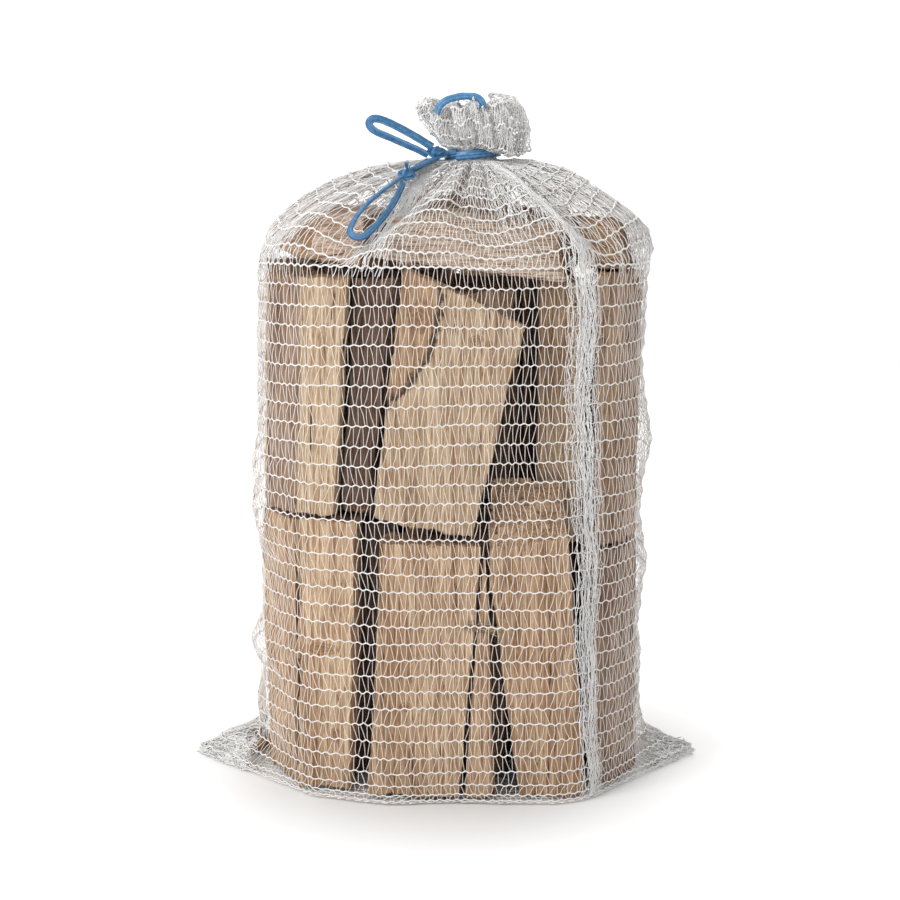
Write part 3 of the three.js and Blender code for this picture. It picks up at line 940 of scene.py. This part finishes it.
def seam_band(rng):
    """The sack's seam: a wide band of bunched upright threads on the front right."""
    levels = np.arange(2 * BASE_ROWS + 2, 2 * NECK_ROW)
    seam = running_mean([seam_column(level) for level in levels], 6)
    fine = np.arange(0, len(levels) - 1, 0.5)
    clump = 0.22 * np.sin(fine * 0.21 + 1) + 0.16 * np.sin(fine * 0.47)
    routes = []
    for strand in range(52):
        lacing = strand % 6 == 0
        wander = closed_walk(0.055, len(fine), rng)
        wander += rng.normal(0, 0.6 if lacing else 0.06, len(fine))
        place = rng.normal(0, 0.56)
        u = np.interp(fine, np.arange(len(levels)), seam) + clump + place + wander
        v = levels[0] / 2 + fine / 2
        lift = 0.0005 + 0.0018 * rng.random() + rng.normal(0, 0.0003, len(fine))
        foot = 0 if strand % 2 else int(rng.uniform(0, 0.75) * len(fine))
        routes.append(on_net(u, v, np.maximum(lift, 0.0002))[foot:])
    return yarn_piece("net_seam_band", routes, SEAM_RADIUS)


def crease_band(rng):
    """The left crease: net pulled into a bunch from the tie down to the top of the wall."""
    levels = np.arange(2 * WALL_TOP_ROW - 1, 2 * NECK_ROW)
    crease = []
    for level in levels:
        ring = RINGS[level]
        off = np.abs(ring[:, 0] - CREASE_X + CREASE_SPREAD * (SHOULDER_TOP_Z - ring[:, 2]))
        off[ring[:, 1] > 0] = 1
        crease.append(float(np.argmin(off)) / CORNERS_PER_WAVE)
    crease = running_mean(crease, 3)
    fine = np.arange(0, len(levels) - 1, 0.5)
    routes = []
    for _ in range(64):
        wander = closed_walk(0.07, len(fine), rng)
        spread = rng.normal(0, 1.0) * (1.5 - 0.6 * fine / fine[-1])
        u = np.interp(fine, np.arange(len(levels)), crease) + spread + wander
        start = int(rng.integers(0, len(fine) // 2))
        v = levels[0] / 2 + fine / 2
        lift = 0.0003 + 0.0012 * rng.random() + rng.normal(0, 0.0003, len(fine))
        routes.append(on_net(u, v, lift)[start:])
    return yarn_piece("net_left_crease", routes, CREASE_RADIUS)


# Threads gathered under the tie: how many, where as a share of the way round from the right, and
# how many rows down. All round, over the sides and back, on the front right, and at both sides.
NECK_PATCHES = [
    (400, (0, 1), (2.5, 7.5)), (340, (-0.12, 0.63), (5, 10)), (130, (0.79, 0.88), (5, 9.5)),
    (80, (-0.09, 0.09), (10, 13)), (80, (0.42, 0.59), (10, 13))]


def neck_folds(rng):
    """Spare net gathered under the tie: threads that fan out and down, just inside the net."""
    routes = []
    strands = [(turn, reach) for count, turn, reach in NECK_PATCHES for _ in range(count)]
    for turn, reach in strands:
        rows = rng.uniform(*reach)
        steps = int(rows * 1.8) + 3
        start = rng.uniform(*turn)
        u = start * WAVES + np.cumsum(rng.normal(0, 0.31, steps))
        v = NECK_ROW + 0.6 - np.linspace(0, rows, steps)
        lift = -np.abs(rng.normal(0.002, 0.002, steps)) * np.linspace(0.2, 1, steps)
        routes.append(on_net(u, v, lift))
    return yarn_piece("net_neck_folds", routes, FOLD_RADIUS)


def tangle(name, count, steps, start, spread, wander, depth, rng, keep=None):
    """Folded net: threads that wander over a patch of the surface, just inside it."""
    routes = []
    for _ in range(count):
        middle = rng.uniform(-1, 1, 2) * spread
        u = start[0] + middle[0] + np.cumsum(rng.normal(0, wander[0], steps))
        v = start[1] + middle[1] + np.cumsum(rng.normal(0, wander[1], steps))
        points = on_net(u, v, -np.abs(rng.normal(0, depth, steps)))
        points[:, 2] = np.maximum(points[:, 2], LOWEST_THREAD)
        if keep is None or keep(points):
            routes.append(points)
    return yarn_piece(name, routes, TANGLE_RADIUS)


def in_an_ear(points):
    """Whether a thread lies wholly in one of the two bottom corners."""
    return points[:, 0].max() < LEFT_EAR or points[:, 0].min() > RIGHT_EAR


def folded_net(rng):
    for name, middle in [("net_ear_right", 0), ("net_ear_left", WAVES / 2)]:
        tangle(name, 520, 14, (middle, BASE_ROWS + 1.6), (8, 2.6), (0.7, 0.3), 0.0022, rng, in_an_ear)
    ruffle_row = ROWS - len(RUFFLE) / 4 - 0.6
    tangle("net_ruffle_folds", 210, 26, (0, ruffle_row), (WAVES / 2, 2.2), (0.7, 0.22), 0.005, rng)


def net_sack():
    rng = np.random.default_rng(7)
    spans = {
        "net_base": (0, BASE_ROWS),
        "net_wall_lower": (BASE_ROWS, BASE_ROWS + 12),
        "net_wall_middle": (BASE_ROWS + 12, BASE_ROWS + 22),
        "net_wall_upper": (BASE_ROWS + 22, WALL_TOP_ROW),
        "net_shoulder": (WALL_TOP_ROW, NECK_ROW),
        "net_ruffle": (NECK_ROW, ROWS),
    }
    for name, (first, last) in spans.items():
        net_piece(name, first, last, rng, GATHERED_STOUT if first >= WALL_TOP_ROW else 1.0)
    seam_band(rng)
    crease_band(rng)
    neck_folds(rng)
    folded_net(rng)


net_sack()

# ---- Blue tape ----
# Flat plastic tape folded lengthwise. Each length is a smooth curve carrying a folded section,
# in millimetres.
FOLDED_SECTION = [(-3.6, 0.2), (-2.5, 1.9), (-1.0, 1.2), (0.4, 2.2), (1.7, 1.4), (3.5, 1.5),
                  (3.3, -0.7), (1.6, -2.0), (0.3, -1.2), (-1.0, -2.1), (-2.5, -1.4)]
BOW_UPPER = [(-14, -25, 653.5), (-26, -29, 661), (-42, -33, 670), (-58, -36, 678), (-70, -37, 682),
             (-77, -37, 680), (-78, -36, 675), (-72, -35, 669), (-58, -33, 663), (-42, -30, 656),
             (-28, -26, 650), (-18.5, -23, 645)]
BOW_LOWER = [(-45, -86, 622), (-56, -103, 614), (-69, -119, 604), (-81, -133, 592),
             (-89, -144, 580), (-92, -150, 571), (-88, -152, 566), (-80, -151, 566),
             (-71, -144, 573), (-61, -131, 584), (-52, -116, 597), (-46, -100, 609),
             (-42.5, -88, 617.5)]
STRAND_NEAR = [(-10, -28, 641), (-17, -40, 638), (-25, -56, 634), (-34, -73, 630)]
STRAND_FAR = [(-16, -24, 641), (-23, -39, 636), (-32, -56, 630.5), (-39, -73.5, 626)]
HEM_TAPE = [(-9, -41, 687), (-6, -44, 694), (1, -45, 700), (11, -45, 703), (21, -45, 704),
            (31, -45, 703), (37, -43, 698), (38, -40, 690)]

PATH_STEPS = 6           # points on a smooth path from one of its points to the next
KNOT_STEPS = 20
HEM_TURN = 2.0
WRAP_TURN = 1.57
WRAP_START = 2.2         # the angle, clockwise from the right, where the wrap begins
WRAP_TILT = 0.0024
CRUMPLE_CLOUD = cloud_texture("tape_crumple", 2)
CRUMPLE_CLOUD.noise_scale = 0.006


def smooth_path(points):
    """A Catmull-Rom line through the points, given in millimetres."""
    line = np.array(points) * MM
    line = np.concatenate([2 * line[:1] - line[1:2], line, 2 * line[-1:] - line[-2:-1]])
    out = []
    for i in range(1, len(line) - 2):
        a, b, c, d = line[i - 1:i + 3]
        for t in np.arange(PATH_STEPS) / PATH_STEPS:
            out.append(0.5 * (2 * b + (c - a) * t + (2 * a - 5 * b + 4 * c - d) * t ** 2
                              + (3 * b - a - 3 * c + d) * t ** 3))
    out.append(line[-2])
    return np.array(out)


def folded_tape(name, path, width=1.0, twist=0.0, closed=False, turn=0.0, thick=None):
    """A length of folded tape along a path, gently crumpled.

    turn is how far its section is rolled at the start, twist how much more it rolls by the end.
    """
    section = bpy.data.curves.new(name + "_section", "CURVE")
    outline = section.splines.new("POLY")
    outline.points.add(len(FOLDED_SECTION) - 1)
    for point, (across, depth) in zip(outline.points, FOLDED_SECTION):
        point.co = (across * width * MM, depth * (thick or width) * MM, 0, 1)
    outline.use_cyclic_u = True
    profile = bpy.data.objects.new(name + "_section", section)
    bpy.context.scene.collection.objects.link(profile)
    curve = bpy.data.curves.new(name, "CURVE")
    curve.dimensions = "3D"
    curve.twist_mode = "MINIMUM"
    curve.bevel_mode = "OBJECT"
    curve.bevel_object = profile
    curve.use_fill_caps = True
    spline = curve.splines.new("POLY")
    spline.points.add(len(path) - 1)
    for i, (point, place) in enumerate(zip(spline.points, path)):
        point.co = (*place, 1)
        point.tilt = turn + twist * i / len(path)
    spline.use_cyclic_u = closed
    tape = bpy.data.objects.new(name, curve)
    bpy.context.scene.collection.objects.link(tape)
    only(tape)
    bpy.ops.object.convert(target="MESH")
    tape = bpy.context.object
    bpy.data.objects.remove(profile)
    corners = len(FOLDED_SECTION)
    lane = tape.data.attributes.new("lane", "FLOAT", "POINT")
    for i, item in enumerate(lane.data):
        item.value = (i % corners) / (corners - 1)
    crumple = tape.modifiers.new("crumple", "DISPLACE")
    crumple.texture = CRUMPLE_CLOUD
    crumple.texture_coords = "LOCAL"
    crumple.strength = 0.0005
    apply_modifiers(tape)
    return tape


def finish_tape(tape, node):
    return finish_piece(tape, BLUE_TAPE, node)


def wrap_path(radius, low, high, turns):
    """Tape wound round the neck from low to high, a little tilted."""
    angle = np.linspace(0, 2 * math.pi * turns, 40 * turns) - WRAP_START
    rise = np.linspace(low, high, len(angle)) + WRAP_TILT * np.cos(angle)
    return np.column_stack([NECK_X + radius * np.cos(angle), radius * np.sin(angle), rise])


def knot_path(centre, size, tilt):
    """A small loop of tape round the others, tilted."""
    around = np.arange(KNOT_STEPS) / KNOT_STEPS * 2 * math.pi
    spin = Matrix.Rotation(tilt, 3, "Z") @ Matrix.Rotation(0.5 + tilt, 3, "X")
    ring = [spin @ Vector((size * math.cos(a), 0.75 * size * math.sin(a), 0)) for a in around]
    return np.array([Vector(centre) * MM + point * MM for point in ring])


def tape_knot(name, node, centre, size):
    """Three loops of tape pulled tight round a solid heart."""
    loops = [folded_tape(f"{name}_loop", knot_path(centre, size * share, tilt), 0.62, closed=True)
             for share, tilt in [(0.8, 0.2), (0.7, 1.3), (0.55, 2.3)]]
    bpy.ops.mesh.primitive_ico_sphere_add(
        subdivisions=3, radius=size * 0.62 * MM, location=Vector(centre) * MM)
    heart = bpy.context.object
    bpy.ops.object.transform_apply(location=True, rotation=True, scale=True)
    return finish_tape(join(loops + [heart], name), node)


def tuft(centre, rng):
    """The frayed ends at the second knot."""
    routes = []
    for _ in range(9):
        lean = Vector((rng.normal(-0.1, 0.35), rng.normal(-0.2, 0.3), 1)).normalized()
        length = rng.uniform(5, 11)
        side = Vector((rng.normal(0, 0.2), rng.normal(0, 0.2), 0))
        routes.append(np.array([
            (Vector(centre) + (lean * t + side * t ** 2) * length) * MM for t in np.linspace(0, 1, 5)]))
    return thread_piece("tape_tuft", routes, FIBRE_RADIUS)


def bow_cord(tape, node):
    finish_tape(tape, node)


def blue_tape():
    rng = np.random.default_rng(3)
    wrap = wrap_path(0.0281, 0.6443, 0.6496, 2)
    finish_tape(folded_tape("tape_wrap", wrap, 0.95, turn=WRAP_TURN), "tie_wrap")
    tape_knot("tape_knot_at_neck", "tie_knot", (-9, -22, 647.5), 11.0)
    tape_knot("tape_second_knot", "second_knot", (-39, -80, 625), 9.0)
    finish_tape(tuft((-38, -83, 628), rng), "second_knot")
    finish_tape(folded_tape("tape_strand_near", smooth_path(STRAND_NEAR), 1.05, 0.9), "strand_near")
    finish_tape(folded_tape("tape_strand_far", smooth_path(STRAND_FAR), 1.0, -0.8), "strand_far")
    hem = smooth_path(HEM_TAPE)
    finish_tape(folded_tape("tape_in_hem", hem, 1.05, 0.3, turn=HEM_TURN, thick=0.55), "hem_tape")
    upper = smooth_path(BOW_UPPER)
    lower = smooth_path(BOW_LOWER)
    bow_cord(folded_tape("tape_bow_upper", upper, 1.15, 0.6, turn=1.3, thick=0.85), "bow_upper")
    bow_cord(folded_tape("tape_bow_lower", lower, 0.95, -0.6, turn=0.5, thick=0.95), "bow_lower")


blue_tape()
